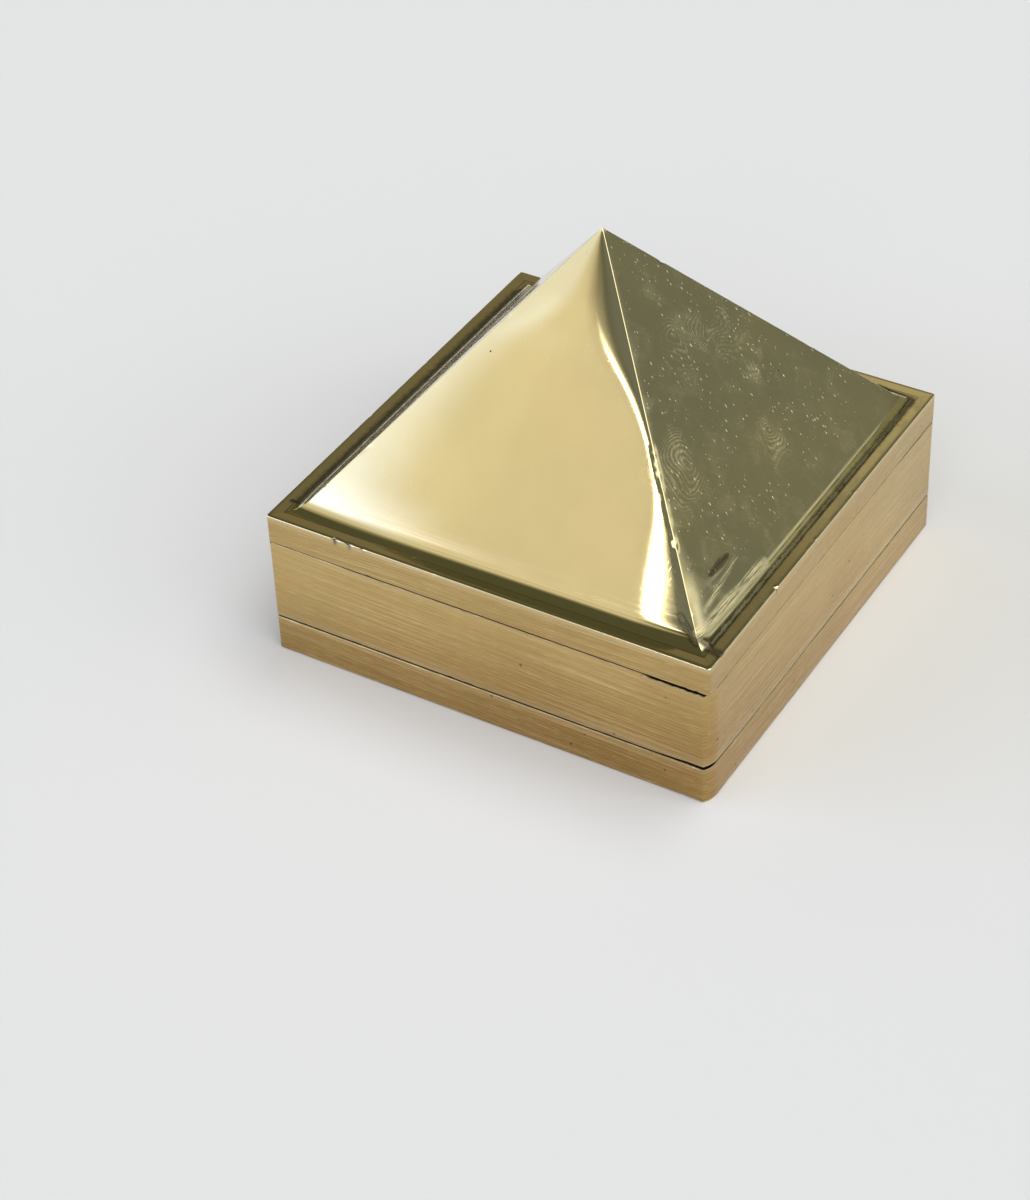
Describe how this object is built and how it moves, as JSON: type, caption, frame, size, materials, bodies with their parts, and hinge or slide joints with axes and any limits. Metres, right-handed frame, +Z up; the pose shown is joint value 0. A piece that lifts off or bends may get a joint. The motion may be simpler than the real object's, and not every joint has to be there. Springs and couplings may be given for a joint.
{
  "type": "vastu pyramid",
  "caption": "Square brass vastu pyramid in loose stacked layers: a base of tiny pyramids, a middle layer of small pyramids and a hollow pyramid lid on a flat rim.",
  "frame": {"origin": "middle of the flat underside of the base tray", "axes": "+Z up through the apex, X and Y square to the sides; the side with the picture's bright face looks along -Y and the dark one along +X"},
  "size_m": [0.0508, 0.0508, 0.0448],
  "materials": {
    "polished_brass": "mirror polish with fine swirl scratches",
    "brushed_brass": "coarse belt-ground grain along each side",
    "cast_brass": "as-cast, lightly buffed on the tips"
  },
  "bodies": {
    "base": {"base_tray": "brushed_brass", "eighty_one_pyramid_plate": "cast_brass"},
    "middle": {"middle_frame": "brushed_brass", "nine_pyramid_plate": "cast_brass"},
    "lid": {"lid_rim": "polished_brass", "pyramid_cap": "polished_brass"}
  },
  "joints": [
    {"name": "middle_lift", "type": "slide", "parent": "base", "child": "middle", "axis": [0, 0, 1], "range_m": [0, 0.03]},
    {"name": "lid_lift", "type": "slide", "parent": "middle", "child": "lid", "axis": [0, 0, 1], "range_m": [0, 0.04]}
  ]
}
